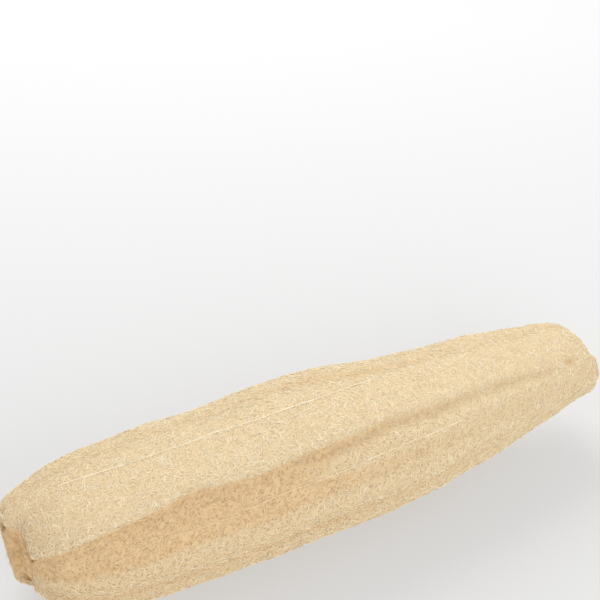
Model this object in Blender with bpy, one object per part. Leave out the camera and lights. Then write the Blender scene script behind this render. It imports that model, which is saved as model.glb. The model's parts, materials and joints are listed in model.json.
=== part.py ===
"""A natural loofah sponge, whole, lying on its side: the dried fibre skeleton of one fruit.

Blender 4.5, in metres, +Z up. The long axis runs along X, from the open blossom end at -X to the
closed stem end at +X. The origin is the middle of the footprint, on the surface that it lies on.
The sizes below are in millimetres and degrees.
"""

import bisect
import math
import random

import bmesh
import bpy
from mathutils import Vector, noise

MM = 0.001
SEED = 11

# The outline, turned about the long axis: distance along it and radius.
# It starts in the hollow middle of the open end, and closes at the stem end.
PROFILE = (
    (14.0, 0.0), (12.0, 6.0), (8.0, 12.0), (3.5, 18.0), (1.5, 23.0), (2.6, 27.5), (8.5, 33.0), (21.0, 39.3),
    (38.0, 44.6), (58.0, 47.6), (85.0, 49.4), (125.0, 49.4), (170.0, 50.4), (205.0, 49.4), (240.0, 45.7),
    (270.0, 42.4), (298.0, 39.2), (322.0, 35.2), (345.0, 30.8), (360.0, 27.8), (370.0, 24.6), (377.5, 19.2),
    (380.6, 11.0), (381.0, 0.0),
)
LENGTH = PROFILE[-1][0]

# Where the long axis starts, how far it lies from the middle of the footprint, and how high.
# The belly reaches a little lower than the surface, and is cut off there as the flat spot.
AXIS = {"starts": -191.9, "aside": -0.3, "height": 48.9}

# How far the long axis bows, at distances along it, towards LEAN, which is measured from +Y towards +Z.
BOW = (
    (0.0, 2.5), (25.0, 0.6), (60.0, -0.4), (140.0, 0.3), (175.0, 2.2), (205.0, 1.6), (245.0, 0.4), (290.0, 2.7),
    (340.0, 5.4), (366.0, 6.6), (381.0, 2.0),
)
LEAN = 37.4

# The ribs and furrows. Angles run round the long axis from FACING, towards the top, and each row is
# the angle in the wide half, the angle in the narrow half, and the height over the outline in each.
FACING = 127.4
RIBS = (
    (3.5, 7.0, 2.4, 1.4),
    (-3.5, 0.0, -3.4, -2.6),
    (-15.0, -13.0, -3.0, 0.8),
    (-29.0, -28.0, -2.6, -2.2),
    (-45.0, -43.0, 0.8, 1.0),
    (-63.0, -60.0, -1.6, -2.2),
    (-80.0, -78.0, 1.0, 1.0),
    (-98.0, -97.0, -2.0, -2.0),
    (-115.0, -115.0, 1.2, 1.0),
    (-132.0, -132.0, -1.8, -1.8),
    (-148.0, -148.0, 1.2, 1.0),
    (-164.0, -164.0, -2.2, -1.8),
    (-180.0, -180.0, 1.4, 1.2),
    (-197.0, -197.0, -2.0, -1.8),
    (-214.0, -214.0, 1.2, 1.0),
    (-231.0, -231.0, -1.8, -1.6),
    (-248.0, -248.0, 1.0, 1.0),
    (-265.0, -266.0, -1.2, -1.2),
    (-281.0, -284.0, 0.8, 0.8),
    (-297.0, -304.0, -0.8, -1.6),
    (-316.0, -321.0, 1.0, 0.8),
    (-334.0, -335.0, 0.2, 0.2),
)
HALVES_MEET = (130.0, 240.0)
RIBS_FULL_RADIUS = 26.0

# How the deep furrow under the top lobe wanders round the axis, at distances along it.
WANDER = (
    (0.0, -15.0), (25.0, -11.0), (50.0, -5.0), (85.0, -0.5), (103.0, 4.5), (122.0, 1.5), (150.0, -0.5),
    (210.0, 0.0), (232.0, 2.0), (262.0, -1.0), (305.0, -1.5), (340.0, -4.5), (360.0, -6.0), (380.0, 4.0),
)
WANDER_REACH = 28.0

# The lobes don't end level. Of those between the first and the last angle, one at each end stands
# this much nearer to the stem than the rest, which starts at a radius and fades along the reach.
UNEVEN_LOBES = (
    {"end": 0.0, "angles": (46.0, 28.0, -128.0, -141.0), "shift": 7.5, "radii": (12.0, 22.0), "reach": 32.0},
    {"end": LENGTH, "angles": (9.0, -2.0, -70.0, -110.0), "shift": 3.2, "radii": (2.0, 12.0), "reach": 22.0},
)

# The lumps of the fibre mat, as soft noise.
LUMPS = {"size": 26.0, "height": 0.9}

# The raised net: knots in columns and rows, joined by strands, with a pit sunk in every mesh of it.
# Some meshes are joined in pairs, more of them round the sponge than along it.
COLUMNS_PER_RIB = 2
ROWS = 62
KNOT_SHIFT = 0.27
KNOT_LIFT = 0.5
PAIRED_ROUND = 0.30
PAIRED_ALONG = 0.08
FLATTEST_PAIR = 16.0
PIT_DEPTHS = (0.38, 0.50, 0.62)
SMALLEST_PITTED = 3.4

# The seed channels that open between the lobes: angle round the axis, distance from it, half the
# width across and round the axis, and depth.
CHANNELS = (
    {"name": "front", "angle": 0.0, "off_axis": 20.5, "across": 6.5, "round": 10.5, "depth": 190.0},
    {"name": "back", "angle": 122.0, "off_axis": 21.0, "across": 6.5, "round": 10.5, "depth": 205.0},
    {"name": "under", "angle": -119.0, "off_axis": 21.0, "across": 6.5, "round": 10.5, "depth": 198.0},
)
MOUTH = {"stands_out": 14.0, "flare": 1.35, "reach": 22.0}
CHANNEL_SIDES = 10
CHANNEL_ROWS = 10

STRAW = (0.800, 0.620, 0.372, 1.0)


def clear_scene():
    for obj in list(bpy.data.objects):
        bpy.data.objects.remove(obj, do_unlink=True)


def eased(value, low, high):
    """0 up to low and 1 from high, rising smoothly between them."""
    share = min(1.0, max(0.0, (value - low) / (high - low)))
    return share * share * (3.0 - 2.0 * share)


def between(rows, at):
    """The value at a distance, on a smooth curve through rows of (distance, value)."""
    places = [row[0] for row in rows]
    i = min(max(bisect.bisect_right(places, at) - 1, 0), len(rows) - 2)
    (x0, y0), (x1, y1) = rows[i], rows[i + 1]
    before, after = rows[max(i - 1, 0)], rows[min(i + 2, len(rows) - 1)]
    span = x1 - x0
    share = min(1.0, max(0.0, (at - x0) / span))
    slope0 = (y1 - before[1]) / (x1 - before[0]) * span
    slope1 = (after[1] - y0) / (after[0] - x0) * span
    return (
        (2 * share**3 - 3 * share**2 + 1) * y0
        + (share**3 - 2 * share**2 + share) * slope0
        + (3 * share**2 - 2 * share**3) * y1
        + (share**3 - share**2) * slope1
    )


def evenly_along(points, count):
    """count + 1 points, evenly spaced along a smooth curve through points."""
    lengths = [0.0]
    for a, b in zip(points, points[1:]):
        lengths.append(lengths[-1] + math.dist(a, b))
    along = [(length, point[0]) for length, point in zip(lengths, points)]
    out = [(length, point[1]) for length, point in zip(lengths, points)]
    steps = [lengths[-1] * i / count for i in range(count + 1)]
    return [(between(along, step), max(0.0, between(out, step))) for step in steps]


def rib_angle(rib, x):
    """The angle of a rib or furrow at a distance along the sponge."""
    wide, narrow = rib[0], rib[1]
    angle = wide + (narrow - wide) * eased(x, *HALVES_MEET)
    return angle + between(WANDER, x) * math.exp(-((angle / WANDER_REACH) ** 2))


def rib_height(rib, x):
    wide, narrow = rib[2], rib[3]
    return wide + (narrow - wide) * eased(x, *HALVES_MEET)


def rib_relief(x, angle):
    """Height of the ribs over the turned outline, at an angle from FACING."""
    angles = [rib_angle(rib, x) for rib in RIBS]
    angles.append(angles[0] - 360.0)
    turned = (angle - angles[-1]) % 360.0 + angles[-1]
    i = next(k for k in range(len(RIBS)) if turned >= angles[k + 1])
    above, below = RIBS[i], RIBS[(i + 1) % len(RIBS)]
    share = (angles[i] - turned) / (angles[i] - angles[i + 1])
    top, bottom = rib_height(above, x), rib_height(below, x)
    return top + (bottom - top) * eased(share, 0.0, 1.0)


def axis_point(x):
    """Where the long axis passes, at a distance along it."""
    bow = between(BOW, x)
    lean = math.radians(LEAN)
    return Vector((AXIS["starts"] + x, AXIS["aside"] + bow * math.cos(lean), AXIS["height"] + bow * math.sin(lean)))


def outward(angle):
    """The direction away from the long axis, at an angle from FACING."""
    world = math.radians(FACING - angle)
    return Vector((0.0, math.cos(world), math.sin(world)))


def lobe_shift(x, radius, angle):
    """How far the uneven lobes are shifted towards the stem, at a place on the skin."""
    turned = (angle + 180.0) % 360.0 - 180.0
    total = 0.0
    for lobe in UNEVEN_LOBES:
        first, full_from, full_to, last = lobe["angles"]
        share = eased(first - turned, 0.0, first - full_from) * eased(turned - last, 0.0, full_to - last)
        share *= eased(radius, *lobe["radii"]) * (1.0 - eased(abs(x - lobe["end"]), 0.0, lobe["reach"]))
        total += lobe["shift"] * share
    return total


def skin_point(x, radius, angle):
    """A point of the sponge's skin, in millimetres."""
    grown = eased(radius, 0.0, RIBS_FULL_RADIUS)
    point = axis_point(x) + outward(angle) * (radius + rib_relief(x, angle) * grown)
    point.x += lobe_shift(x, radius, angle)
    return point + outward(angle) * noise.noise(point / LUMPS["size"]) * LUMPS["height"] * grown


def net_angles(x):
    """The angles of the net's columns of knots, which follow the ribs and furrows."""
    angles = [rib_angle(rib, x) for rib in RIBS]
    found = []
    for a, b in zip(angles, angles[1:] + [angles[0] - 360.0]):
        found += [a + (b - a) * k / COLUMNS_PER_RIB for k in range(COLUMNS_PER_RIB)]
    return found


def shaped_sphere(sides, rows, place):
    """A sphere's grid, with the vertex of each row and side moved to place(row, side)."""
    bm = bmesh.new()
    bmesh.ops.create_uvsphere(bm, u_segments=sides, v_segments=rows, radius=1.0)
    for vertex in bm.verts:
        row = round(math.acos(max(-1.0, min(1.0, vertex.co.z))) / math.pi * rows)
        side = round(math.atan2(vertex.co.y, vertex.co.x) / (2 * math.pi) * sides) % sides
        vertex.co = place(row, side) * MM
    bm.normal_update()
    bmesh.ops.recalc_face_normals(bm, faces=bm.faces)
    return bm


def object_from(bm, name, collection):
    mesh = bpy.data.meshes.new(name)
    bm.to_mesh(mesh)
    bm.free()
    obj = bpy.data.objects.new(name, mesh)
    collection.objects.link(obj)
    return obj


def knotted_skin(rng):
    """The skin as a grid of knots, each shifted a little from its place."""
    sides = len(RIBS) * COLUMNS_PER_RIB
    stations = evenly_along(PROFILE, ROWS)

    def knot(row, side):
        x, radius = stations[row]
        if row in (0, ROWS):
            return skin_point(x, radius, 0.0)
        angles = net_angles(x)
        point = skin_point(x, radius, angles[side])
        ahead = skin_point(*stations[row + 1], angles[side]) - point
        around = skin_point(x, radius, angles[(side + 1) % sides]) - point
        free = 0.3 if side % COLUMNS_PER_RIB == 0 else 1.0
        point += ahead * rng.uniform(-KNOT_SHIFT, KNOT_SHIFT)
        point += around * rng.uniform(-KNOT_SHIFT, KNOT_SHIFT) * free
        return point + outward(angles[side]) * rng.uniform(-KNOT_LIFT, KNOT_LIFT) * eased(radius, 8.0, 26.0)

    return shaped_sphere(sides, ROWS, knot)


def flatten_belly(bm):
    """Cuts the belly off level with the surface, so that the sponge lies on a small flat spot."""
    everything = bm.verts[:] + bm.edges[:] + bm.faces[:]
    cut = bmesh.ops.bisect_plane(bm, geom=everything, plane_co=(0, 0, 0), plane_no=(0, 0, -1), clear_outer=True)
    rim = [item for item in cut["geom_cut"] if isinstance(item, bmesh.types.BMEdge)]
    bmesh.ops.holes_fill(bm, edges=rim, sides=0)
    bm.normal_update()


def pair_meshes(bm, rng):
    """Joins some neighbouring meshes of the net, so that it has long ones among the square ones."""
    taken = set()
    dropped = []
    for edge in bm.edges:
        if len(edge.link_faces) != 2 or any(len(face.verts) != 4 or face in taken for face in edge.link_faces):
            continue
        run = edge.verts[1].co - edge.verts[0].co
        share = PAIRED_ROUND if abs(run.x) > run.length * 0.7 else PAIRED_ALONG
        if rng.random() < share and edge.calc_face_angle() < math.radians(FLATTEST_PAIR):
            taken.update(edge.link_faces)
            dropped.append(edge)
    bmesh.ops.dissolve_edges(bm, edges=dropped, use_verts=False)


def sink_pits(bm, rng):
    """Sinks a pit in each mesh of the net, which leaves its strands raised."""
    meshes = [
        face for face in bm.faces
        if math.sqrt(face.calc_area()) > SMALLEST_PITTED * MM and face.normal.z > -0.9999
    ]
    drawn = [rng.choice(PIT_DEPTHS) for _ in meshes]
    for depth in PIT_DEPTHS:
        chosen = [face for face, its_depth in zip(meshes, drawn) if its_depth == depth]
        bmesh.ops.poke(bm, faces=chosen, offset=-depth, center_mode="MEAN", use_relative_offset=True)


def channel_cutter(channel, collection):
    """The space of one seed channel, as a solid that reaches out past the open end."""
    starts = -MOUTH["stands_out"]
    out, round_axis = outward(channel["angle"]), outward(channel["angle"] + 90.0)

    def place(row, side):
        share = row / CHANNEL_ROWS
        x = starts + (channel["depth"] - starts) * share
        width = 1.0 + (MOUTH["flare"] - 1.0) * (1.0 - eased(x, 0.0, MOUTH["reach"]))
        width *= min(1.0, 6.0 * share, 2.2 * math.sqrt(1.0 - share))
        turn = 2 * math.pi * side / CHANNEL_SIDES
        section = out * math.cos(turn) * channel["across"] + round_axis * math.sin(turn) * channel["round"]
        centre = axis_point(x) + out * channel["off_axis"]
        return centre + section * width

    cutter = object_from(
        shaped_sphere(CHANNEL_SIDES, CHANNEL_ROWS, place), f"{channel['name']}_seed_channel_cutter", collection
    )
    cutter.hide_render = True
    cutter.display_type = "WIRE"


def straw():
    """Dried plant fibre: pale straw, without a shine."""
    material = bpy.data.materials.new("dried loofah fibre")
    material.use_nodes = True
    shader = material.node_tree.nodes["Principled BSDF"]
    shader.inputs["Base Color"].default_value = STRAW
    shader.inputs["Roughness"].default_value = 0.85
    shader.inputs["Metallic"].default_value = 0.0
    return material


def main():
    clear_scene()
    rng = random.Random(SEED)
    sponge_parts = bpy.data.collections.new("natural loofah sponge")
    bpy.context.scene.collection.children.link(sponge_parts)
    cutters = bpy.data.collections.new("cutters")
    bpy.context.scene.collection.children.link(cutters)

    bm = knotted_skin(rng)
    flatten_belly(bm)
    pair_meshes(bm, rng)
    sink_pits(bm, rng)
    bmesh.ops.triangulate(bm, faces=bm.faces)
    sponge = object_from(bm, "loofah_sponge", sponge_parts)
    sponge.data.materials.append(straw())

    for channel in CHANNELS:
        channel_cutter(channel, cutters)
    boolean = sponge.modifiers.new("seed channels", "BOOLEAN")
    boolean.operation = "DIFFERENCE"
    boolean.solver = "EXACT"
    boolean.operand_type = "COLLECTION"
    boolean.collection = cutters


main()
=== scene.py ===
"""A natural loofah sponge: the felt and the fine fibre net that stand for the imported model's plain solid.

Blender 4.5, in metres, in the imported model's own frame: the long axis runs along X, from the open
blossom end at -X to the closed stem end at +X, and the sponge lies on z = 0. The tables of the form
below are in millimetres and degrees. The settings that a user would change are properties.
"""

import bisect
import functools
import json
import math
import random

import bmesh
import bpy
import numpy as np
from mathutils import Matrix, Vector, noise
from mathutils.bvhtree import BVHTree

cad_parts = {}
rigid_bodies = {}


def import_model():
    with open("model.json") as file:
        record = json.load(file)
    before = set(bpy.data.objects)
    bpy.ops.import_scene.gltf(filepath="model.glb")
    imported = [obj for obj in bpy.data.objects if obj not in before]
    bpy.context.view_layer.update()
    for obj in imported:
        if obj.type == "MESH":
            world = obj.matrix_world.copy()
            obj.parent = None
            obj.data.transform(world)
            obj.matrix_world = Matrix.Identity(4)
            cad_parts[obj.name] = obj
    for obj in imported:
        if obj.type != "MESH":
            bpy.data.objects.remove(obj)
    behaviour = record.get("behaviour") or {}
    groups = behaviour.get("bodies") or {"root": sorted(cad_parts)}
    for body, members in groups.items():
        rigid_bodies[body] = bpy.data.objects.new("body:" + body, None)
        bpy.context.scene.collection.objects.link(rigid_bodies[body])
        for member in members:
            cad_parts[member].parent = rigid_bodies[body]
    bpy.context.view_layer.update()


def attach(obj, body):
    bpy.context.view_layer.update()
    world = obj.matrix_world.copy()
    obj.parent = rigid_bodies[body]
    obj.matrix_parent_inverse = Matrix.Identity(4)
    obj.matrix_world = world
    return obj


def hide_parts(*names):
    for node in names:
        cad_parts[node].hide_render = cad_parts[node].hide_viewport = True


bl_info = {
    "name": "Natural Loofah Sponge",
    "version": (1, 0, 0),
    "blender": (4, 5, 0),
    "location": "3D View > Sidebar > Loofah",
    "description": "Dresses the packed model of a whole loofah with felt, a fibre net, veins and hairs",
    "category": "Object",
}

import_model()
NODE = "loofah_sponge"

MM = 0.001
SEEDS = {"net": 11, "veins": 31, "hairs": 51}

# The outline, turned about the long axis: distance along it and radius.
# It starts in the hollow middle of the open end, and closes at the stem end.
PROFILE = (
    (14.0, 0.0), (12.0, 6.0), (8.0, 12.0), (3.5, 18.0), (1.5, 23.0), (2.6, 27.5), (8.5, 33.0), (21.0, 39.3),
    (38.0, 44.6), (58.0, 47.6), (85.0, 49.4), (125.0, 49.4), (170.0, 50.4), (205.0, 49.4), (240.0, 45.7),
    (270.0, 42.4), (298.0, 39.2), (322.0, 35.2), (345.0, 30.8), (360.0, 27.8), (370.0, 24.6), (377.5, 19.2),
    (380.6, 11.0), (381.0, 0.0),
)
LENGTH = PROFILE[-1][0]

# The outline's row at the rim of the open end, from where on it is the sponge's outside.
RIM_ROW = 4

# Where the long axis starts, how far it lies from the middle of the footprint, and how high.
AXIS = {"starts": -191.9, "aside": -0.3, "height": 48.9}

# How far the long axis bows, at distances along it, towards LEAN, which is measured from +Y towards +Z.
BOW = (
    (0.0, 2.5), (25.0, 0.6), (60.0, -0.4), (140.0, 0.3), (175.0, 2.2), (205.0, 1.6), (245.0, 0.4),
    (290.0, 2.7), (340.0, 5.4), (366.0, 6.6), (381.0, 2.0),
)
LEAN = 37.4

# The ribs and furrows. Angles run round the long axis from FACING, towards the top, and each row is
# the angle in the wide half, the angle in the narrow half, and the height over the outline in each.
FACING = 127.4
RIBS = (
    (3.5, 7.0, 2.4, 1.4),
    (-3.5, 0.0, -3.4, -2.6),
    (-15.0, -13.0, -3.0, 0.8),
    (-29.0, -28.0, -2.6, -2.2),
    (-45.0, -43.0, 0.8, 1.0),
    (-63.0, -60.0, -1.6, -2.2),
    (-80.0, -78.0, 1.0, 1.0),
    (-98.0, -97.0, -2.0, -2.0),
    (-115.0, -115.0, 1.2, 1.0),
    (-132.0, -132.0, -1.8, -1.8),
    (-148.0, -148.0, 1.2, 1.0),
    (-164.0, -164.0, -2.2, -1.8),
    (-180.0, -180.0, 1.4, 1.2),
    (-197.0, -197.0, -2.0, -1.8),
    (-214.0, -214.0, 1.2, 1.0),
    (-231.0, -231.0, -1.8, -1.6),
    (-248.0, -248.0, 1.0, 1.0),
    (-265.0, -266.0, -1.2, -1.2),
    (-281.0, -284.0, 0.8, 0.8),
    (-297.0, -304.0, -0.8, -1.6),
    (-316.0, -321.0, 1.0, 0.8),
    (-334.0, -335.0, 0.2, 0.2),
)
HALVES_MEET = (130.0, 240.0)
RIBS_FULL_RADIUS = 26.0

# How the deep furrow under the top lobe wanders round the axis, at distances along it.
WANDER = (
    (0.0, -15.0), (25.0, -11.0), (50.0, -5.0), (85.0, -0.5), (103.0, 4.5), (122.0, 1.5), (150.0, -0.5),
    (210.0, 1.5), (232.0, 5.0), (262.0, 3.5), (305.0, 2.5), (340.0, -2.5), (360.0, -5.0), (380.0, 4.0),
)
WANDER_REACH = 28.0

# The lobes don't end level: one at each end stands this much nearer to the stem than the rest.
UNEVEN_LOBES = (
    {"end": 0.0, "angles": (46.0, 28.0, -128.0, -141.0), "shift": 7.5, "radii": (12.0, 22.0), "reach": 32.0},
    {"end": LENGTH, "angles": (9.0, -2.0, -70.0, -110.0), "shift": 3.2, "radii": (2.0, 12.0), "reach": 22.0},
)

# The lumps of the fibre mat, as soft noise: the large ones of the whole form, and the dents of the felt.
LUMPS = {"size": 26.0, "height": 0.9}
DENTS = ({"size": 9.0, "height": 0.28}, {"size": 3.2, "height": 0.06})

# Nearer to the axis than this the felt's depth and dents fade out, so that both ends close.
FELT_FULL_RADIUS = 10.0

# The seed channels that open between the lobes: angle round the axis, distance from it, half the
# width across and round the axis, and depth.
CHANNELS = (
    {"name": "front", "angle": 0.0, "off_axis": 20.5, "across": 6.5, "round": 10.5, "depth": 190.0},
    {"name": "back", "angle": 122.0, "off_axis": 21.0, "across": 6.5, "round": 10.5, "depth": 205.0},
    {"name": "under", "angle": -119.0, "off_axis": 21.0, "across": 6.5, "round": 10.5, "depth": 198.0},
)

# They are wider at the mouth, round off at both ends, more slowly where the number is small, and have
# slightly lumpy walls.
MOUTH = {"stands_out": 14.0, "flare": 1.35, "reach": 22.0}
ENDS_ROUND_OFF = {"mouth": 6.0, "bottom": 2.2}
CHANNEL_LUMPS = {"size": 6.0, "height": 0.8}
CHANNEL_SIDES = 28
CHANNEL_ROWS = 60

# No strands lie on the channels' walls between these distances, nearer to the axis than this radius,
# nor on the flat spot, which reaches up to this height.
UNSEEN = {"from": 42.0, "to": 215.0, "radius": 33.0}
FLAT_SPOT = 0.05

# Towards the stem end the mat fills this share of the ribs' relief, between these distances. There
# the deepest furrow fades out, and a dimple follows it.
MAT_FILLS = {"share": 0.45, "from": 235.0, "to": 345.0}
FURROW_FADES = {"from": 334.0, "to": 358.0, "angle": -12.0, "beside": 25.0}
DIMPLE = {"x": 359.5, "angle": -4.0, "radius": 5.0, "depth": 1.6}

# Towards the stem end the net also lies lower and its strands are finer, by these shares.
FINER = {"from": 190.0, "to": 320.0, "lower": 0.30, "thinner": 0.2, "pores": 0.35}

# How strongly the furrows are tinted tan, partly as a tanner colour and partly as painted shade, at
# distances along the sponge; how stained the open end is; how much the inside of the channels is tinted,
# partly as painted shade; and how much painted shade the dimple has.
FURROW_TINT_AND_SHADE = (
    (0.0, 0.76), (90.0, 0.76), (180.0, 0.66), (230.0, 0.44), (280.0, 0.24), (330.0, 0.14), (381.0, 0.10),
)
END_STAIN = {"share": 0.12, "reach": 120.0}
INSIDE_TINT_AND_SHADE = 0.75
DIMPLE_PAINTED_SHADE = 0.7

# A furrow's tint and painted shade are at full strength in a furrow this deep. They are worked out in steps
# of this many millimetres and degrees.
FULL_FURROW = 2.4
SHADE_STEP = 2.0

# A place starts to count as inside, and counts fully, this far under the outline, whose radius is
# read no nearer to the open end than the first of these.
INSIDE = {"nearest": 8.5, "starts": 6.0, "full": 16.0}

# Below the top lobe the fibre is tinted all over by this share of the furrows' tint: partly a tanner colour,
# partly painted shade under the top lobe.
BELLY_TINT_AND_SHADE = {"share": 0.35, "angles": (-4.0, -14.0, -140.0, -175.0)}

# The mat of the top lobe is closer, so its pores are fainter by this share.
CLOSER = {"pores": 0.40, "angles": (95.0, 70.0, 2.0, -6.0)}

# The layers of the net, from the felt outwards: height over the felt, how far a strand arches, its
# share of the net's strand width, and how pale its strands are, least and most.
NET_LAYERS = (
    {"height": 0.06, "arch": 0.14, "width": 1.15, "pale": (0.0, 0.4)},
    {"height": 0.13, "arch": 0.16, "width": 1.00, "pale": (0.1, 0.6)},
    {"height": 0.20, "arch": 0.20, "width": 0.95, "pale": (0.3, 0.9)},
    {"height": 0.27, "arch": 0.32, "width": 0.85, "pale": (0.6, 1.0)},
)

# A strand's points, the shares of its layer's arch that strands have, least and most, and the shares
# of its layer's width: those of whole strands, least and most, and that of a strand's two ends.
STRAND_POINTS = 4
ARCH_SHARES = (0.3, 1.0)
WIDTH_SHARES = {"body": (0.75, 1.25), "ends": 0.55}

# The width of the rings that strands are spread over, in millimetres, and the shortest step between
# two points of a strand, in metres.
RING = 3.0
SHORTEST_MOVE = 0.00003

# Of all strands, the share that lies mostly round the sponge and the share that lies along it, with
# how far these turn aside. The others lie in any direction.
ROUND_STRANDS = {"share": 0.55, "aside": 40.0}
LONG_STRANDS = {"share": 0.15, "aside": 22.0}

# On the ends the surface faces along the sponge. Where less than this share of the long direction
# lies in it, directions are measured from another one.
LEAST_ALONG = 0.2

# The long pale veins in plain view, as distances along the axis and angles.
VEINS = (
    (
        (34.0, 42.0), (61.0, 39.0), (84.0, 37.5), (107.0, 37.5), (136.0, 37.7), (159.0, 35.6),
        (189.0, 35.2), (228.0, 41.3),
    ),
    ((46.0, -31.0), (61.0, -24.8), (78.0, -21.8), (100.0, -22.4), (126.0, -24.0)),
    ((128.0, -21.0), (158.0, -19.7), (182.0, -20.4), (212.0, -16.1), (244.0, -13.4), (276.0, -13.4)),
)

# A vein is a bundle of threads, each with a point every few millimetres. They lie up to the first
# angle aside of its route, in long waves, and each point shakes by the second. A thread rises from the
# felt and sinks into it again: its middle height, how far that changes, and over what length. Its
# points have these shares of the width of a vein's thread, least and most, and its ends have the last.
VEIN_THREADS = {"count": 3, "step": 3.0, "aside": 0.9, "shakes": 0.3}
VEIN_HEIGHT = {"middle": 0.31, "changes": 0.50, "over": 17.0}
VEIN_WIDTHS = {"body": (0.7, 1.15), "ends": 0.1}
VEIN_PALENESS = 0.6

# Out of plain view a vein runs along each rib in these rows of RIBS. It starts and ends between these
# distances, and lies up to one angle aside of its rib, and each of its parts up to another.
HIDDEN_VEINS = {"rows": (8, 18), "starts": (25.0, 90.0), "ends": (230.0, 340.0)}
HIDDEN_ROUTE = {"parts": 6, "aside": 7.0, "strays": 2.0}

# How high loose ends stand, least and most, on the body and round the open end.
HAIRS_STAND = {"body": (0.2, 0.8), "open end": (0.8, 2.2), "end reach": 12.0}

# How high a loose end starts. Its points have these shares of the height and of the width, and it
# curls more than a strand by this factor. The last is how pale loose ends are, least and most.
HAIR_ROOT = 0.3
HAIR_RISES = (0.0, 0.55, 0.9, 1.0)
HAIR_THINS = (1.0, 1.0, 0.85, 0.4)
HAIR_CURLS = 1.3
HAIR_PALENESS = (0.0, 0.8)

# The stage, in metres: half the floor's width, how far back its light grows, and the side and the
# places of the lights, with the point that they are turned to.
FLOOR_HALF = 4.0
GLOW_REACH = 0.5
LIGHT_SIDE = 0.9
LIGHT_PLACES = {"front light": (0.05, -1.1, 0.7), "back light": (0.15, 1.0, 1.2)}
LIT_POINT = (0.0, 0.0, 0.05)


def linear(code):
    """An sRGB hex value as linear colour with alpha."""
    channels = [int(code[i:i + 2], 16) / 255 for i in (1, 3, 5)]
    return tuple([c / 12.92 if c <= 0.04045 else ((c + 0.055) / 1.055) ** 2.4 for c in channels] + [1.0])


# The form


def eased(value, low, high):
    """0 up to low and 1 from high, rising smoothly between them."""
    share = min(1.0, max(0.0, (value - low) / (high - low)))
    return share * share * (3.0 - 2.0 * share)


def between(rows, at):
    """The value at a distance, on a smooth curve through rows of (distance, value)."""
    places = [row[0] for row in rows]
    i = min(max(bisect.bisect_right(places, at) - 1, 0), len(rows) - 2)
    (x0, y0), (x1, y1) = rows[i], rows[i + 1]
    before, after = rows[max(i - 1, 0)], rows[min(i + 2, len(rows) - 1)]
    span = x1 - x0
    share = min(1.0, max(0.0, (at - x0) / span))
    slope0 = (y1 - before[1]) / (x1 - before[0]) * span
    slope1 = (after[1] - y0) / (after[0] - x0) * span
    return (
        (2 * share**3 - 3 * share**2 + 1) * y0
        + (share**3 - 2 * share**2 + share) * slope0
        + (3 * share**2 - 2 * share**3) * y1
        + (share**3 - share**2) * slope1
    )


def evenly_along(points, count):
    """count + 1 points, evenly spaced along a smooth curve through points."""
    lengths = [0.0]
    for a, b in zip(points, points[1:]):
        lengths.append(lengths[-1] + math.dist(a, b))
    along = [(length, point[0]) for length, point in zip(lengths, points)]
    out = [(length, point[1]) for length, point in zip(lengths, points)]
    steps = [lengths[-1] * i / count for i in range(count + 1)]
    return [(between(along, step), max(0.0, between(out, step))) for step in steps]


@functools.lru_cache(maxsize=None)
def ribs_at(x):
    """The angle and height of each rib and furrow, at a distance along the sponge."""
    share = eased(x, *HALVES_MEET)
    found = []
    for wide_angle, narrow_angle, wide_height, narrow_height in RIBS:
        angle = wide_angle + (narrow_angle - wide_angle) * share
        angle += between(WANDER, x) * math.exp(-((angle / WANDER_REACH) ** 2))
        found.append((angle, wide_height + (narrow_height - wide_height) * share))
    found.append((found[0][0] - 360.0, found[0][1]))
    return found


def rib_relief(x, angle):
    """Height of the ribs over the turned outline, at an angle from FACING."""
    ribs = ribs_at(x)
    turned = (angle - ribs[-1][0]) % 360.0 + ribs[-1][0]
    i = next(k for k in range(len(RIBS)) if turned >= ribs[k + 1][0])
    (above, top), (below, bottom) = ribs[i], ribs[i + 1]
    return top + (bottom - top) * eased((above - turned) / (above - below), 0.0, 1.0)


@functools.lru_cache(maxsize=None)
def axis_point(x):
    """Where the long axis passes, at a distance along it."""
    bow = between(BOW, x)
    lean = math.radians(LEAN)
    y, z = AXIS["aside"] + bow * math.cos(lean), AXIS["height"] + bow * math.sin(lean)
    return Vector((AXIS["starts"] + x, y, z))


def outward(angle):
    """The direction away from the long axis, at an angle from FACING."""
    world = math.radians(FACING - angle)
    return Vector((0.0, math.cos(world), math.sin(world)))


def turned_from(angle, middle=0.0):
    """The angle from middle to angle, between -180 and 180 degrees."""
    return (angle - middle + 180.0) % 360.0 - 180.0


def band_share(angle, band):
    """1 inside a band of angles and 0 outside: it starts, is full, is still full and ends at these."""
    first, full_from, full_to, last = band
    turned = turned_from(angle)
    return eased(first - turned, 0.0, first - full_from) * eased(turned - last, 0.0, full_to - last)


def lobe_shift(x, radius, angle):
    """How far the uneven lobes are shifted towards the stem, at a place on the skin."""
    total = 0.0
    for lobe in UNEVEN_LOBES:
        if abs(x - lobe["end"]) < lobe["reach"]:
            share = band_share(angle, lobe["angles"])
            share *= eased(radius, *lobe["radii"]) * (1.0 - eased(abs(x - lobe["end"]), 0.0, lobe["reach"]))
            total += lobe["shift"] * share
    return total


def faded_relief(x, angle):
    """Height of the ribs, with the deepest furrow faded out near the stem end."""
    beside = turned_from(angle, FURROW_FADES["angle"]) / FURROW_FADES["beside"]
    fade = eased(x, FURROW_FADES["from"], FURROW_FADES["to"]) * math.exp(-(beside**2))
    return rib_relief(x, angle) * (1.0 - fade)


def dimple_share(x, angle):
    """1 in the middle of the dimple at the stem end and 0 outside it."""
    aside = math.radians(turned_from(angle, DIMPLE["angle"])) * radius_at(DIMPLE["x"])
    return 1.0 - eased(math.hypot(x - DIMPLE["x"], aside), 0.0, DIMPLE["radius"])


def fineness(x):
    """0 up to the middle of the sponge and 1 near the stem end, where the mat is finest."""
    return eased(x, FINER["from"], FINER["to"])


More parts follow.
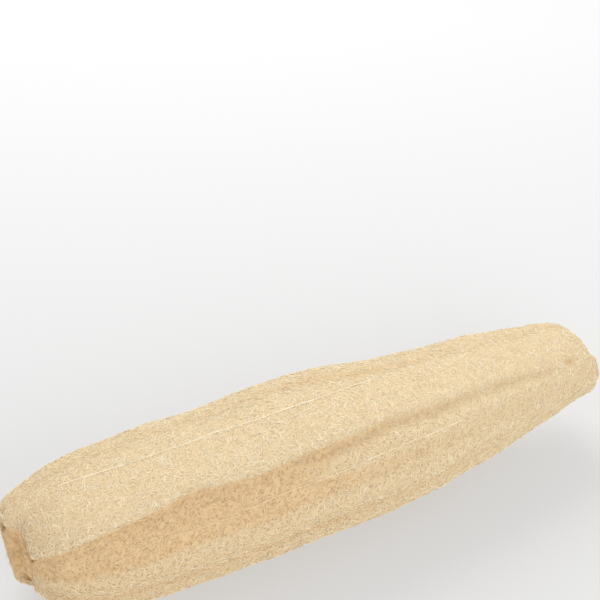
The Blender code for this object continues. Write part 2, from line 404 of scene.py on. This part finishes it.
def skin_point(x, radius, angle):
    """A point of the sponge's skin, in millimetres."""
    grown = eased(radius, 0.0, RIBS_FULL_RADIUS)
    filled = MAT_FILLS["share"] * eased(x, MAT_FILLS["from"], MAT_FILLS["to"])
    relief = faded_relief(x, angle) * (1.0 - filled)
    relief -= DIMPLE["depth"] * dimple_share(x, angle)
    out = outward(angle)
    point = axis_point(x) + out * (radius + relief * grown)
    point.x += lobe_shift(x, radius, angle)
    return point + out * noise.noise(point / LUMPS["size"]) * LUMPS["height"] * grown


def radius_at(x):
    """The outline's radius at a distance along the sponge, on its outside."""
    return between(PROFILE[RIM_ROW:], x)


@functools.lru_cache(maxsize=None)
def furrow_share(x_step, angle_step):
    """How deep in a furrow a place lies, from 0 to 1. The place is given in whole steps."""
    return eased(-faded_relief(SHADE_STEP * x_step, SHADE_STEP * angle_step), 0.0, FULL_FURROW)


def place_of(point):
    """Where a point in metres lies: distance along the sponge, angle from FACING, distance off the axis."""
    x = point[0] / MM - AXIS["starts"]
    centre = axis_point(round(x))
    y, z = point[1] / MM - centre.y, point[2] / MM - centre.z
    return x, (FACING - math.degrees(math.atan2(z, y))) % 360.0, math.hypot(y, z)


def inside_share(x, off_axis):
    """0 on the outside and 1 in the channels and on the end's hollow middle."""
    under = radius_at(min(max(x, INSIDE["nearest"]), LENGTH)) - off_axis
    return eased(under, INSIDE["starts"], INSIDE["full"])


def shade_of(point):
    """How tan the fibre is painted at a point in metres, from 0 on the ribs to 1 in the furrows and
    channels: partly a tanner colour and partly painted shade.
    """
    x, angle, off_axis = place_of(point)
    # Painted shade under the top lobe, with a tanner colour there.
    belly = BELLY_TINT_AND_SHADE["share"] * band_share(angle - between(WANDER, x), BELLY_TINT_AND_SHADE["angles"])
    # Deeper in a furrow the fibre is tanner and carries more painted shade.
    furrow = furrow_share(round(x / SHADE_STEP), round(angle / SHADE_STEP))
    tint_and_shade = max(furrow, belly) * between(FURROW_TINT_AND_SHADE, x)
    end = END_STAIN["share"] * (1.0 - eased(x, 0.0, END_STAIN["reach"]))
    # A tanner colour, partly as painted shade, in the channels and the end's hollow.
    inside = INSIDE_TINT_AND_SHADE * inside_share(x, off_axis)
    # The dimple at the stem end gets painted shade.
    return max(tint_and_shade + end * (1.0 - tint_and_shade), inside, DIMPLE_PAINTED_SHADE * dimple_share(x, angle))


def openness_of(point):
    """How open the mat is at a point in metres: 1 where its pores are deepest."""
    x, angle, _ = place_of(point)
    closer = CLOSER["pores"] * band_share(angle, CLOSER["angles"])
    return (1.0 - FINER["pores"] * fineness(x)) * (1.0 - closer)


# Meshes


def shaped_sphere(sides, rows, place):
    """A sphere's grid, with the vertex of each row and side moved to place(row, side)."""
    bm = bmesh.new()
    bmesh.ops.create_uvsphere(bm, u_segments=sides, v_segments=rows, radius=1.0)
    for vertex in bm.verts:
        row = round(math.acos(max(-1.0, min(1.0, vertex.co.z))) / math.pi * rows)
        side = round(math.atan2(vertex.co.y, vertex.co.x) / (2 * math.pi) * sides) % sides
        vertex.co = place(row, side) * MM
    bm.normal_update()
    bmesh.ops.recalc_face_normals(bm, faces=bm.faces)
    return bm


def object_of(mesh, name):
    obj = bpy.data.objects.new(name, mesh)
    bpy.context.scene.collection.objects.link(obj)
    return obj


def object_from(bm, name):
    mesh = bpy.data.meshes.new(name)
    bm.to_mesh(mesh)
    bm.free()
    return object_of(mesh, name)


def channel_cutter(channel):
    """The space of one seed channel, as a solid that reaches out past the open end."""
    starts = -MOUTH["stands_out"]
    out, round_axis = outward(channel["angle"]), outward(channel["angle"] + 90.0)

    def place(row, side):
        share = row / CHANNEL_ROWS
        x = starts + (channel["depth"] - starts) * share
        width = 1.0 + (MOUTH["flare"] - 1.0) * (1.0 - eased(x, 0.0, MOUTH["reach"]))
        width *= min(1.0, ENDS_ROUND_OFF["mouth"] * share, ENDS_ROUND_OFF["bottom"] * math.sqrt(1.0 - share))
        turn = 2 * math.pi * side / CHANNEL_SIDES
        section = out * math.cos(turn) * channel["across"] + round_axis * math.sin(turn) * channel["round"]
        point = axis_point(x) + out * channel["off_axis"] + section * width
        lump = section.normalized() * noise.noise(point / CHANNEL_LUMPS["size"]) * CHANNEL_LUMPS["height"]
        return point + lump * min(1.0, width)

    solid = shaped_sphere(CHANNEL_SIDES, CHANNEL_ROWS, place)
    return object_from(solid, f"{channel['name']}_seed_channel_cutter")


def felt_mesh(sides, rows, depth):
    """The matted inner surface, as deep as this under the skin, with its dents and its seed channels."""
    stations = evenly_along(PROFILE, rows)

    def place(row, side):
        x, radius = stations[row]
        angle = 360.0 * side / sides
        if row in (0, rows):
            angle = 0.0
        point = skin_point(x, radius, angle)
        grown = eased(radius, 0.0, FELT_FULL_RADIUS)
        dent = sum(noise.noise(point / d["size"]) * d["height"] for d in DENTS) * grown
        point += outward(angle) * (dent - depth * grown)
        point.z = max(0.0, point.z)
        return point

    felt = object_from(shaped_sphere(sides, rows, place), "felt")
    cutters = bpy.data.collections.new("cutters")
    bpy.context.scene.collection.children.link(cutters)
    for channel in CHANNELS:
        cutter = channel_cutter(channel)
        bpy.context.scene.collection.objects.unlink(cutter)
        cutters.objects.link(cutter)
    boolean = felt.modifiers.new("seed channels", "BOOLEAN")
    boolean.operation = "DIFFERENCE"
    boolean.solver = "EXACT"
    boolean.operand_type = "COLLECTION"
    boolean.collection = cutters
    finished = bpy.data.meshes.new_from_object(felt.evaluated_get(bpy.context.evaluated_depsgraph_get()))
    felt.modifiers.remove(boolean)
    felt.data = finished
    for cutter in list(cutters.objects):
        bpy.data.objects.remove(cutter)
    bpy.data.collections.remove(cutters)
    return felt


def surface_of(obj):
    """What strands are laid on: a search tree, the faces' middles and the area summed over them."""
    mesh = obj.data
    mesh.calc_loop_triangles()
    points = np.empty(len(mesh.vertices) * 3, np.float32)
    mesh.vertices.foreach_get("co", points)
    points = points.reshape(-1, 3)
    corners = np.empty(len(mesh.loop_triangles) * 3, np.int32)
    mesh.loop_triangles.foreach_get("vertices", corners)
    corners = corners.reshape(-1, 3)
    tree = BVHTree.FromPolygons([tuple(p) for p in points.tolist()], corners.tolist())
    a, b, c = (points[corners[:, i]].astype(float) for i in range(3))
    middles = (a + b + c) / 3
    area = np.linalg.norm(np.cross(b - a, c - a), axis=1) / 2
    x = middles[:, 0] / MM - AXIS["starts"]
    y, z = middles[:, 1] / MM - AXIS["aside"], middles[:, 2] / MM - AXIS["height"]
    unseen = (x > UNSEEN["from"]) & (x < UNSEEN["to"]) & (np.hypot(y, z) < UNSEEN["radius"])
    flat_spot = middles[:, 2] < FLAT_SPOT * MM
    area[unseen | flat_spot] = 0.0
    # Sorted ring by ring and round each ring, so that strands drawn in this order cover it evenly.
    order = np.lexsort((x, np.round(np.arctan2(z, y), 4), np.floor(x / RING)))
    return {"tree": tree, "middles": middles[order], "summed": np.cumsum(area[order]) / area.sum()}


def spread_over(surface, count, rng):
    """Points spread evenly over the surface, each moved up to 1 mm aside, with the normal there."""
    for k in range(count):
        face = int(np.searchsorted(surface["summed"], (k + rng.random()) / count))
        middle = surface["middles"][min(face, len(surface["middles"]) - 1)]
        aside = Vector((rng.uniform(-1.0, 1.0), rng.uniform(-1.0, 1.0), rng.uniform(-1.0, 1.0))) * MM
        point, normal, _, _ = surface["tree"].find_nearest(Vector(middle) + aside)
        yield point, normal


def laid_strand(surface, start, heading, normal, heights, step, curl, rng):
    """The points of a strand that winds over the surface at the heights given for its points."""
    point = start
    turn = rng.gauss(0.0, curl)
    points = []
    for height in heights:
        points.append(point + normal * height)
        heading = heading - normal * heading.dot(normal)
        heading = Matrix.Rotation(turn, 3, normal) @ heading.normalized()
        turn += rng.gauss(0.0, curl)
        point, normal, _, _ = surface["tree"].find_nearest(point + heading * step)
    return points


def heading_on(normal, rng):
    """A direction along the surface: mostly round the sponge, some along it, the rest at random."""
    along = Vector((1.0, 0.0, 0.0))
    along = along - normal * along.dot(normal)
    if along.length < LEAST_ALONG:
        along = normal.orthogonal()
    along.normalize()
    draw = rng.random()
    if draw < ROUND_STRANDS["share"]:
        turn = 90.0 + rng.uniform(-1.0, 1.0) * ROUND_STRANDS["aside"]
    elif draw < ROUND_STRANDS["share"] + LONG_STRANDS["share"]:
        turn = rng.uniform(-1.0, 1.0) * LONG_STRANDS["aside"]
    else:
        turn = rng.uniform(0.0, 360.0)
    return Matrix.Rotation(math.radians(turn), 3, normal) @ along * rng.choice((-1.0, 1.0))


def tubes(strands, name):
    """One mesh of closed three-sided tubes, one for each strand of points, half widths and paleness."""
    section = bpy.data.curves.new("section", "CURVE")
    section.dimensions = "2D"
    corners = section.splines.new("POLY")
    corners.points.add(2)
    for k, corner in enumerate(corners.points):
        turn = -2 * math.pi * k / 3
        corner.co = (math.cos(turn), math.sin(turn), 0.0, 1.0)
    corners.use_cyclic_u = True
    section_object = object_of(section, "section")
    path = bpy.data.curves.new(name, "CURVE")
    path.dimensions = "3D"
    path.bevel_mode = "OBJECT"
    path.bevel_object = section_object
    laid = []
    for points, widths, pale in strands:
        places = [Vector((p.x, p.y, max(p.z, width))) for p, width in zip(points, widths)]
        # A strand that is stuck at a sharp rim doesn't move on from point to point, and is left out.
        if min((b - a).length for a, b in zip(places, places[1:])) > SHORTEST_MOVE:
            laid.append((places, widths, pale))
    for points, widths, _ in laid:
        spline = path.splines.new("POLY")
        spline.points.add(len(points) - 1)
        spline.points.foreach_set("co", [value for p in points for value in (*p, 1.0)])
        spline.points.foreach_set("radius", widths)
    path_object = object_of(path, name + "_path")
    graph = bpy.context.evaluated_depsgraph_get()
    mesh = bpy.data.meshes.new_from_object(path_object.evaluated_get(graph))
    mesh.name = name
    bpy.data.objects.remove(path_object)
    bpy.data.objects.remove(section_object)
    shades, furrows = [], []
    for points, _, pale in laid:
        for p in points:
            shades += [pale] * 3
            furrows += [shade_of(p)] * 3
    set_values(mesh, "paleness", shades)
    set_values(mesh, "furrow", furrows)
    bm = bmesh.new()
    bm.from_mesh(mesh)
    bmesh.ops.holes_fill(bm, edges=[edge for edge in bm.edges if edge.is_boundary], sides=3)
    bm.to_mesh(mesh)
    bm.free()
    # Flat faces keep the strands bright. Smoothed over three sides only, they would look grey.
    mesh.shade_flat()
    return object_of(mesh, name)


def set_values(mesh, label, values):
    """Stores a value for each vertex, which a material reads by its label."""
    mesh.attributes.new(label, "FLOAT", "POINT").data.foreach_set("value", values)


def finish_piece(obj, material):
    """Gives a piece its material, attaches it to the sponge's body and hides the part that it stands for."""
    obj.data.materials.clear()
    obj.data.materials.append(material)
    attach(obj, "root")
    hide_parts(NODE)


# Materials


def add_node(tree, kind, settings=None, inputs=None):
    """Adds a node with its settings, and gives its inputs a value each or a link from an output."""
    node = tree.nodes.new(kind)
    for name, value in (settings or {}).items():
        setattr(node, name, value)
    for name, value in (inputs or {}).items():
        if isinstance(value, bpy.types.NodeSocket):
            tree.links.new(value, node.inputs[name])
        else:
            node.inputs[name].default_value = value
    return node


def blank_material(name):
    """A new material with a Principled shader, and the object's own coordinates."""
    material = bpy.data.materials.new(name)
    material.use_nodes = True
    tree = material.node_tree
    coordinates = add_node(tree, "ShaderNodeTexCoord").outputs["Object"]
    return material, tree, tree.nodes["Principled BSDF"], coordinates


def blended(tree, share, first, second):
    """A colour between two, by a share that is a number or an output."""
    mix = add_node(tree, "ShaderNodeMix", {"data_type": "RGBA"}, {"Factor": share})
    for name, value in (("A", first), ("B", second)):
        socket = next(s for s in mix.inputs if s.name == name and s.type == "RGBA")
        if isinstance(value, bpy.types.NodeSocket):
            tree.links.new(value, socket)
        else:
            socket.default_value = value
    return next(s for s in mix.outputs if s.type == "RGBA")


def scaled(tree, value, low, high):
    """A value between 0 and 1 moved to between low and high."""
    return add_node(
        tree, "ShaderNodeMapRange", None, {"Value": value, "To Min": low, "To Max": high}
    ).outputs["Result"]


def fibre_material(colours):
    """Luffa fibre, retted, scraped clean and dried in the sun: matt, straw to cream, tan in the furrows,
    partly as painted shade.
    """
    material, tree, shader, coordinates = blank_material("sun-dried luffa fibre")
    pale = add_node(tree, "ShaderNodeAttribute", {"attribute_name": "paleness"}).outputs["Fac"]
    furrow = add_node(tree, "ShaderNodeAttribute", {"attribute_name": "furrow"}).outputs["Fac"]
    # Stains from drying are 8 to 15 mm across.
    stains = add_node(
        tree, "ShaderNodeTexNoise", None, {"Vector": coordinates, "Scale": 1 / 0.011, "Detail": 2.0}
    ).outputs["Fac"]
    # The flecks along a strand are about 1.5 mm long.
    flecks = add_node(
        tree, "ShaderNodeTexNoise", None, {"Vector": coordinates, "Scale": 1 / 0.0015, "Detail": 1.0}
    ).outputs["Fac"]
    colour = blended(tree, pale, colours.straw, colours.cream)
    # The furrow value tints the strands tan: partly a tanner colour, partly painted shade in the furrows,
    # under the top lobe, in the hollows and in the dimple.
    colour = blended(tree, scaled(tree, furrow, 0.0, 0.8), colour, colours.furrow)
    colour = blended(tree, scaled(tree, stains, -0.3, 0.5), colour, colours.tan)
    colour = blended(tree, scaled(tree, flecks, -0.2, 0.3), colour, colours.tan)
    tree.links.new(colour, shader.inputs["Base Color"])
    tree.links.new(scaled(tree, flecks, 0.7, 0.9), shader.inputs["Roughness"])
    shader.inputs["Specular IOR Level"].default_value = 0.15
    return material


def felt_material(colours):
    """The matted fibre under the net: the same fibre, coloured darker than the strands as painted shade
    under the net, with painted shade in the pores between its meshes.
    """
    material, tree, shader, coordinates = blank_material("matted luffa felt")
    # Strands cross the pores' rims, which bends them by up to 0.4 mm, in waves of 1.6 mm.
    bent = add_node(
        tree, "ShaderNodeTexNoise", None, {"Vector": coordinates, "Scale": 1 / 0.0016, "Detail": 1.0}
    ).outputs["Color"]
    shifted = add_node(
        tree, "ShaderNodeVectorMath", {"operation": "MULTIPLY_ADD"},
        {0: bent, 1: (0.0008, 0.0008, 0.0008), 2: coordinates},
    ).outputs["Vector"]
    # Pores lie about 2 mm apart. Each is darkest over its middle 0.4 mm and fades out over 2 mm.
    rims = add_node(
        tree, "ShaderNodeTexVoronoi", {"feature": "F1"}, {"Vector": shifted, "Scale": 1 / 0.0020}
    ).outputs["Distance"]
    pores = add_node(
        tree, "ShaderNodeMapRange", {"interpolation_type": "SMOOTHSTEP"},
        {"Value": rims, "From Min": 0.10, "From Max": 0.50, "To Min": 1.0, "To Max": 0.0},
    ).outputs["Result"]
    # The mat is open, with deep pores, except on the top lobe and towards the stem end.
    openness = add_node(tree, "ShaderNodeAttribute", {"attribute_name": "openness"}).outputs["Fac"]
    pores = add_node(
        tree, "ShaderNodeMath", {"operation": "MULTIPLY"}, {0: pores, 1: openness}
    ).outputs["Value"]
    furrow = add_node(tree, "ShaderNodeAttribute", {"attribute_name": "furrow"}).outputs["Fac"]
    # The furrow value tints the felt tan: partly a tanner colour, partly painted shade in the furrows, under
    # the top lobe, in the hollows and in the dimple.
    colour = blended(tree, scaled(tree, furrow, 0.0, 0.5), colours.felt, colours.furrow)
    # Painted shade: the pores are darkened towards the pore colour, which stands for the shadow inside them.
    colour = blended(tree, scaled(tree, pores, 0.0, 0.6), colour, colours.pore_shade)
    tree.links.new(colour, shader.inputs["Base Color"])
    shader.inputs["Roughness"].default_value = 0.9
    shader.inputs["Specular IOR Level"].default_value = 0.1
    # The walls of the seed channels glow a little, as painted light that stands in for daylight coming
    # through the open mat.
    inside = add_node(tree, "ShaderNodeAttribute", {"attribute_name": "inside"}).outputs["Fac"]
    shader.inputs["Emission Color"].default_value = colours.furrow
    tree.links.new(scaled(tree, inside, 0.0, 0.2), shader.inputs["Emission Strength"])
    bump = add_node(
        tree, "ShaderNodeBump", {"invert": True}, {"Height": pores, "Distance": 0.0003, "Strength": 1.0}
    )
    tree.links.new(bump.outputs["Normal"], shader.inputs["Normal"])
    return material


# Settings


class LoofahColours(bpy.types.PropertyGroup):
    """The colours of the fibre."""

    cream: bpy.props.FloatVectorProperty(
        name="Cream", description="The palest strands", subtype="COLOR", size=4, min=0.0, max=1.0,
        default=linear("#f5ecd5"),
    )
    straw: bpy.props.FloatVectorProperty(
        name="Straw", description="The common strands", subtype="COLOR", size=4, min=0.0, max=1.0,
        default=linear("#eee0be"),
    )
    tan: bpy.props.FloatVectorProperty(
        name="Tan", description="Drying stains and flecks", subtype="COLOR", size=4, min=0.0, max=1.0,
        default=linear("#e7cfa6"),
    )
    # Darker than the strands, as painted shade of the mat that lies in the net's shadow.
    felt: bpy.props.FloatVectorProperty(
        name="Felt", description="The mat under the strands", subtype="COLOR", size=4, min=0.0, max=1.0,
        default=linear("#d8c29d"),
    )
    # Tanner fibre, also used as painted shade in the furrows and hollows, and as the colour of the channels'
    # painted glow.
    furrow: bpy.props.FloatVectorProperty(
        name="Furrow", description="Fibre in the furrows and channels", subtype="COLOR", size=4,
        min=0.0, max=1.0, default=linear("#e0b983"),
    )
    # Painted shade for the shadow at the bottom of the pores.
    pore_shade: bpy.props.FloatVectorProperty(
        name="Pore", description="The bottom of the pores in the felt", subtype="COLOR", size=4,
        min=0.0, max=1.0, default=linear("#a6875a"),
    )


class LoofahForm(bpy.types.PropertyGroup):
    """The felt's fineness and place."""

    sides: bpy.props.IntProperty(name="Sides", description="Faces round the felt", default=216, min=24)
    rows: bpy.props.IntProperty(name="Rows", description="Faces along the felt", default=280, min=24)
    depth: bpy.props.FloatProperty(
        name="Depth", description="How deep the felt lies under the skin", default=0.0008, unit="LENGTH"
    )


class LoofahNet(bpy.types.PropertyGroup):
    """The strands of the net."""

    strands: bpy.props.IntProperty(name="Strands", description="Strands in each layer", default=9500, min=1)
    length: bpy.props.FloatProperty(
        name="Length", description="Length of a strand", default=0.0048, unit="LENGTH"
    )
    width: bpy.props.FloatProperty(
        name="Width", description="Width of a strand", default=0.00040, unit="LENGTH"
    )
    curl: bpy.props.FloatProperty(
        name="Curl", description="How much a strand turns from point to point", default=0.5, subtype="ANGLE"
    )
    vein_width: bpy.props.FloatProperty(
        name="Vein width", description="Width of a vein's thread", default=0.00042, unit="LENGTH"
    )
    hairs: bpy.props.IntProperty(name="Hairs", description="Loose ends that stand off", default=3200, min=1)
    hair_length: bpy.props.FloatProperty(
        name="Hair length", description="Length of a loose end", default=0.0045, unit="LENGTH"
    )
    hair_width: bpy.props.FloatProperty(
        name="Hair width", description="Width of a loose end", default=0.00032, unit="LENGTH"
    )


class LoofahStage(bpy.types.PropertyGroup):
    """The camera, the floor and the light."""

    camera: bpy.props.FloatVectorProperty(
        name="Camera", description="Where the camera stands", subtype="TRANSLATION", unit="LENGTH",
        default=(-0.2689, -0.5956, 0.8288),
    )
    target: bpy.props.FloatVectorProperty(
        name="Target", description="The point that the camera looks at", subtype="TRANSLATION",
        unit="LENGTH", default=(0.0147, 0.0559, 0.1251),
    )
    lens: bpy.props.FloatProperty(name="Lens", description="Focal length in millimetres", default=100.0)
    floor: bpy.props.FloatVectorProperty(
        name="Floor", description="Colour of the floor", subtype="COLOR", size=4, min=0.0, max=1.0,
        default=linear("#999999"),
    )
    glow: bpy.props.FloatProperty(
        name="Glow", description="Light that comes through the floor, in front", default=0.41
    )
    far_glow: bpy.props.FloatProperty(
        name="Far glow", description="Light that comes through the floor, half a metre behind", default=0.54
    )
    sky: bpy.props.FloatProperty(name="Sky", description="Strength of the even light", default=0.66)
    front: bpy.props.FloatProperty(
        name="Front", description="Power of the light in front", default=8.3, unit="POWER"
    )
    back: bpy.props.FloatProperty(
        name="Back", description="Power of the light behind", default=15.0, unit="POWER"
    )


# Operators


def drawn_widths(count, width, rng):
    """Half the width at each point of a strand, which thins towards its ends."""
    body = width / 2 * rng.uniform(*WIDTH_SHARES["body"])
    return [body * (WIDTH_SHARES["ends"] if k in (0, count - 1) else 1.0) for k in range(count)]


class LayFelt(bpy.types.Operator):
    """Makes the matted body of the sponge, with its ribs, furrows and seed channels"""

    bl_idname = "loofah.lay_felt"
    bl_label = "Lay felt"

    def execute(self, context):
        form = context.scene.loofah_form
        felt = felt_mesh(form.sides, form.rows, form.depth / MM)
        points = [vertex.co.copy() for vertex in felt.data.vertices]
        places = [place_of(point) for point in points]
        set_values(felt.data, "furrow", [shade_of(point) for point in points])
        set_values(felt.data, "openness", [openness_of(point) for point in points])
        set_values(felt.data, "inside", [inside_share(x, off_axis) for x, _, off_axis in places])
        felt.data.shade_smooth()
        finish_piece(felt, felt_material(context.scene.loofah_colours))
        return {"FINISHED"}


class LayNet(bpy.types.Operator):
    """Lays the layers of winding strands over the felt"""

    bl_idname = "loofah.lay_net"
    bl_label = "Lay net"

    def execute(self, context):
        net = context.scene.loofah_net
        surface = surface_of(bpy.data.objects["felt"])
        material = fibre_material(context.scene.loofah_colours)
        step = net.length / (STRAND_POINTS - 1)
        for number, layer in enumerate(NET_LAYERS, 1):
            rng = random.Random(SEEDS["net"] + number)
            strands = []
            for point, normal in spread_over(surface, net.strands, rng):
                heading = heading_on(normal, rng)
                fine = fineness(point.x / MM - AXIS["starts"])
                low = (1.0 - FINER["lower"] * fine) * MM
                arch = layer["arch"] * rng.uniform(*ARCH_SHARES)
                heights = [
                    (layer["height"] + arch * math.sin(math.pi * k / (STRAND_POINTS - 1))) * low
                    for k in range(STRAND_POINTS)
                ]
                points = laid_strand(surface, point, heading, normal, heights, step, net.curl, rng)
                width = net.width * layer["width"] * (1.0 - FINER["thinner"] * fine)
                widths = drawn_widths(STRAND_POINTS, width, rng)
                strands.append((points, widths, rng.uniform(*layer["pale"])))
            finish_piece(tubes(strands, f"net_layer_{number}"), material)
        return {"FINISHED"}


class LayVeins(bpy.types.Operator):
    """Lays the long pale veins that run along the sponge"""

    bl_idname = "loofah.lay_veins"
    bl_label = "Lay veins"

    def execute(self, context):
        net = context.scene.loofah_net
        surface = surface_of(bpy.data.objects["felt"])
        rng = random.Random(SEEDS["veins"])
        routes = list(VEINS)
        parts, most_aside, strays = (HIDDEN_ROUTE[name] for name in ("parts", "aside", "strays"))
        for wide, narrow, height, _ in RIBS[slice(*HIDDEN_VEINS["rows"])]:
            if height > 0:
                start, end = rng.uniform(*HIDDEN_VEINS["starts"]), rng.uniform(*HIDDEN_VEINS["ends"])
                steps = [start + (end - start) * k / parts for k in range(parts + 1)]
                drift = rng.uniform(-most_aside, most_aside)
                routes.append([
                    (x, wide + (narrow - wide) * k / parts + drift + rng.uniform(-strays, strays))
                    for k, x in enumerate(steps)
                ])
        strands = []
        for route in (route for route in routes for _ in range(VEIN_THREADS["count"])):
            count = max(2, round((route[-1][0] - route[0][0]) / VEIN_THREADS["step"]))
            # Each thread reads the noise along its own line, first for its place and then for its height.
            line = len(strands) + 0.5
            points = []
            for k in range(count + 1):
                x = route[0][0] + (route[-1][0] - route[0][0]) * k / count
                along = x / VEIN_HEIGHT["over"]
                aside = VEIN_THREADS["aside"] * noise.noise(Vector((along, line, 9.5)))
                shake = rng.uniform(-VEIN_THREADS["shakes"], VEIN_THREADS["shakes"])
                spot = skin_point(x, radius_at(x), between(route, x) + aside + shake) * MM
                point, normal, _, _ = surface["tree"].find_nearest(spot)
                rise = noise.noise(Vector((along, line, 0.0)))
                height = VEIN_HEIGHT["middle"] + VEIN_HEIGHT["changes"] * rise
                points.append(point + normal * height * MM)
            widths = [net.vein_width / 2 * rng.uniform(*VEIN_WIDTHS["body"]) for _ in points]
            widths[0] = widths[-1] = net.vein_width * VEIN_WIDTHS["ends"]
            strands.append((points, widths, VEIN_PALENESS))
        finish_piece(tubes(strands, "long_veins"), bpy.data.materials["sun-dried luffa fibre"])
        return {"FINISHED"}


class RaiseHairs(bpy.types.Operator):
    """Raises the loose ends that stand off the net, and those that fringe the open end"""

    bl_idname = "loofah.raise_hairs"
    bl_label = "Raise hairs"

    def execute(self, context):
        net = context.scene.loofah_net
        surface = surface_of(bpy.data.objects["felt"])
        rng = random.Random(SEEDS["hairs"])
        step = net.hair_length / (len(HAIR_RISES) - 1)
        curl = net.curl * HAIR_CURLS
        widths = [net.hair_width / 2 * share for share in HAIR_THINS]
        strands = []
        for point, normal in spread_over(surface, net.hairs, rng):
            at_end = point.x / MM - AXIS["starts"] < HAIRS_STAND["end reach"]
            stands = rng.uniform(*HAIRS_STAND["open end" if at_end else "body"])
            heights = [(HAIR_ROOT + stands * share) * MM for share in HAIR_RISES]
            heading = heading_on(normal, rng)
            points = laid_strand(surface, point, heading, normal, heights, step, curl, rng)
            strands.append((points, widths, rng.uniform(*HAIR_PALENESS)))
        finish_piece(tubes(strands, "loose_hairs"), bpy.data.materials["sun-dried luffa fibre"])
        return {"FINISHED"}


def look_at(obj, place, target):
    """Puts a camera or a light at a place, turned to a target."""
    obj.location = place
    obj.rotation_euler = (Vector(target) - Vector(place)).to_track_quat("-Z", "Y").to_euler()


def area_light(name, power):
    """A square light at its place on the stage."""
    light = bpy.data.lights.new(name, "AREA")
    light.size = LIGHT_SIDE
    light.energy = power
    look_at(object_of(light, name), LIGHT_PLACES[name], LIT_POINT)


class SetStage(bpy.types.Operator):
    """Sets the camera, the pale floor and the soft studio light"""

    bl_idname = "loofah.set_stage"
    bl_label = "Set stage"

    def execute(self, context):
        stage = context.scene.loofah_stage
        camera_data = bpy.data.cameras.new("camera")
        camera_data.lens = stage.lens
        camera_data.sensor_width = 36.0
        camera = object_of(camera_data, "camera")
        look_at(camera, stage.camera, stage.target)
        context.scene.camera = camera

        bm = bmesh.new()
        bmesh.ops.create_grid(bm, x_segments=1, y_segments=1, size=FLOOR_HALF)
        floor = object_from(bm, "floor")
        # An opal acrylic light table, lit from below, so that the shadow under the sponge stays pale.
        material, tree, shader, coordinates = blank_material("lit opal acrylic")
        shader.inputs["Base Color"].default_value = stage.floor
        shader.inputs["Roughness"].default_value = 0.9
        shader.inputs["Specular IOR Level"].default_value = 0.2
        shader.inputs["Emission Color"].default_value = (1.0, 1.0, 1.0, 1.0)
        # It is brighter at the back: by metres away from the camera, over the floor.
        away = (Vector(stage.target) - Vector(stage.camera)).to_2d().normalized().to_3d()
        distance = add_node(
            tree, "ShaderNodeVectorMath", {"operation": "DOT_PRODUCT"}, {0: coordinates, 1: away}
        ).outputs["Value"]
        glow = add_node(
            tree, "ShaderNodeMapRange", None,
            {"Value": distance, "From Max": GLOW_REACH, "To Min": stage.glow, "To Max": stage.far_glow},
        ).outputs["Result"]
        tree.links.new(glow, shader.inputs["Emission Strength"])
        floor.data.materials.append(material)

        world = bpy.data.worlds.new("studio")
        world.use_nodes = True
        world.node_tree.nodes["Background"].inputs["Color"].default_value = (1.0, 1.0, 1.0, 1.0)
        world.node_tree.nodes["Background"].inputs["Strength"].default_value = stage.sky
        context.scene.world = world
        area_light("front light", stage.front)
        area_light("back light", stage.back)
        context.scene.view_settings.view_transform = "Standard"
        return {"FINISHED"}


class LoofahPanel(bpy.types.Panel):
    """Lists the settings and the steps"""

    bl_idname = "VIEW3D_PT_loofah"
    bl_label = "Loofah"
    bl_space_type = "VIEW_3D"
    bl_region_type = "UI"
    bl_category = "Loofah"

    def draw(self, context):
        for group in SETTINGS:
            settings = getattr(context.scene, group)
            for name in settings.__annotations__:
                self.layout.prop(settings, name)
        for operator in STEPS:
            self.layout.operator(operator.bl_idname)


SETTINGS = {
    "loofah_colours": LoofahColours,
    "loofah_form": LoofahForm,
    "loofah_net": LoofahNet,
    "loofah_stage": LoofahStage,
}
STEPS = (LayFelt, LayNet, LayVeins, RaiseHairs, SetStage)


def register():
    for cls in (*SETTINGS.values(), *STEPS, LoofahPanel):
        bpy.utils.register_class(cls)
    for name, group in SETTINGS.items():
        setattr(bpy.types.Scene, name, bpy.props.PointerProperty(type=group))


def unregister():
    for name in SETTINGS:
        delattr(bpy.types.Scene, name)
    for cls in (LoofahPanel, *reversed(STEPS), *reversed(SETTINGS.values())):
        bpy.utils.unregister_class(cls)


def main():
    register()
    bpy.ops.loofah.lay_felt()
    bpy.ops.loofah.lay_net()
    bpy.ops.loofah.lay_veins()
    bpy.ops.loofah.raise_hairs()
    bpy.ops.loofah.set_stage()


if __name__ == "__main__":
    main()
